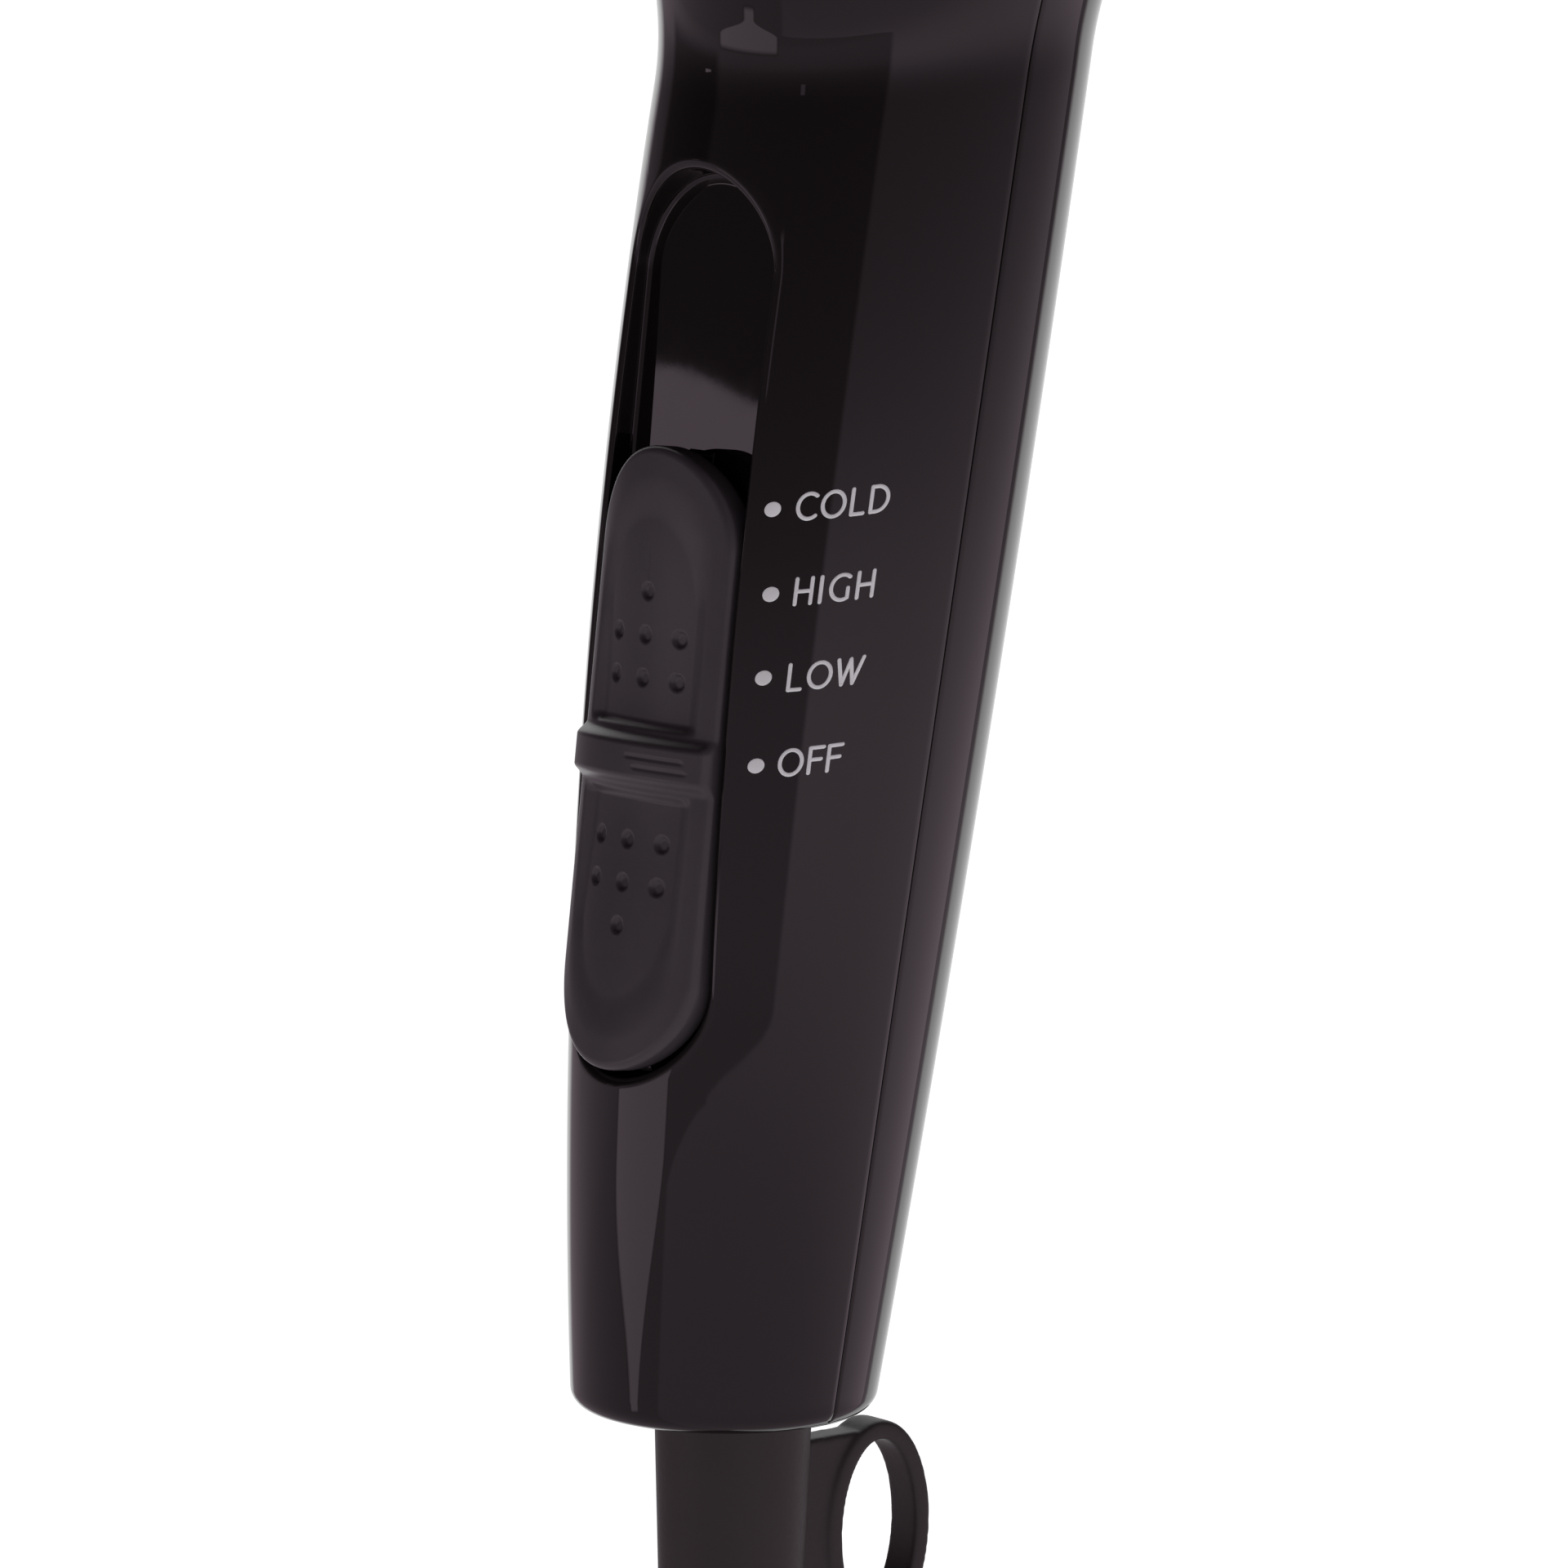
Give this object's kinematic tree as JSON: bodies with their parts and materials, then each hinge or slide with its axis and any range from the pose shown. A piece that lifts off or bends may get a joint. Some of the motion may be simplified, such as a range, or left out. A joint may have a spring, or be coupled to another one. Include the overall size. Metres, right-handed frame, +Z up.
{
  "type": "hair dryer",
  "caption": "Pistol-grip hair dryer with a slide switch in the handle's front, an outlet spigot, a pull-off intake cover and a strain relief with a hanging loop.",
  "frame": {"origin": "centre of the outlet spigot's mouth", "axes": "-X out of the outlet along the barrel's axis, +Z up away from the handle, +Y to the dryer's plain side"},
  "size_m": [0.18, 0.079, 0.2702],
  "materials": {
    "gloss_black": "high gloss moulded black",
    "satin_black": "satin moulded black",
    "slider_satin": "satin moulded dark grey",
    "relief_rubber": "matt moulded rubber",
    "soft_rubber": "matt",
    "filter_mesh": "woven mesh",
    "heat_resin": "matt heat-resistant resin",
    "motor_steel": "plated steel",
    "core_steel": "stacked laminations",
    "magnet_grey": "ferrite",
    "bronze": "sintered bronze and brass strip",
    "copper": "enamelled copper",
    "carbon": "pressed carbon",
    "mica": "pressed mica sheet",
    "heater_wire": "oxidised resistance wire",
    "ceramic": "glazed ceramic",
    "board_green": "coated circuit board",
    "lead_cover": "insulated lead"
  },
  "bodies": {
    "housing": {"front_housing": "gloss_black", "rear_housing": "gloss_black", "outlet_ring": "satin_black", "outlet_grille": "satin_black", "motor_duct": "heat_resin", "motor_ring": "soft_rubber", "motor_can": "motor_steel", "motor_magnets": "magnet_grey", "motor_end_cap": "heat_resin", "motor_bearings": "bronze", "brushes": "carbon", "heater_board_upright": "mica", "heater_board_level": "mica", "heater_coil_high": "heater_wire", "heater_coil_low": "heater_wire", "heater_sleeve": "mica", "thermostat": "bronze", "thermal_fuse": "ceramic", "diode_board": "board_green", "diodes": "satin_black", "switch_body": "heat_resin", "switch_terminals": "motor_steel", "detent_spring": "motor_steel", "cord_clamp": "satin_black", "clamp_screws": "motor_steel", "housing_screws": "motor_steel", "strain_relief": "relief_rubber", "supply_leads": "lead_cover", "heater_leads": "lead_cover"},
    "slider": {"slider_button": "slider_satin", "switch_carrier": "heat_resin", "contact_bridge": "bronze"},
    "rotor": {"rotor_shaft": "motor_steel", "armature": "core_steel", "windings": "copper", "commutator": "copper", "fan": "heat_resin"},
    "cover": {"intake_cover": "satin_black", "lint_filter": "filter_mesh"}
  },
  "joints": [
    {"name": "setting_slide", "type": "slide", "parent": "housing", "child": "slider", "axis": [0.2311, 0, 0.9729], "range_m": [0, 0.02298]},
    {"name": "rotor_spin", "type": "hinge", "parent": "housing", "child": "rotor", "pos_m": [0.12, 0, 0], "axis": [1, 0, 0], "continuous": true},
    {"name": "cover_pull", "type": "slide", "parent": "housing", "child": "cover", "axis": [1, 0, 0], "range_m": [0, 0.012]}
  ]
}
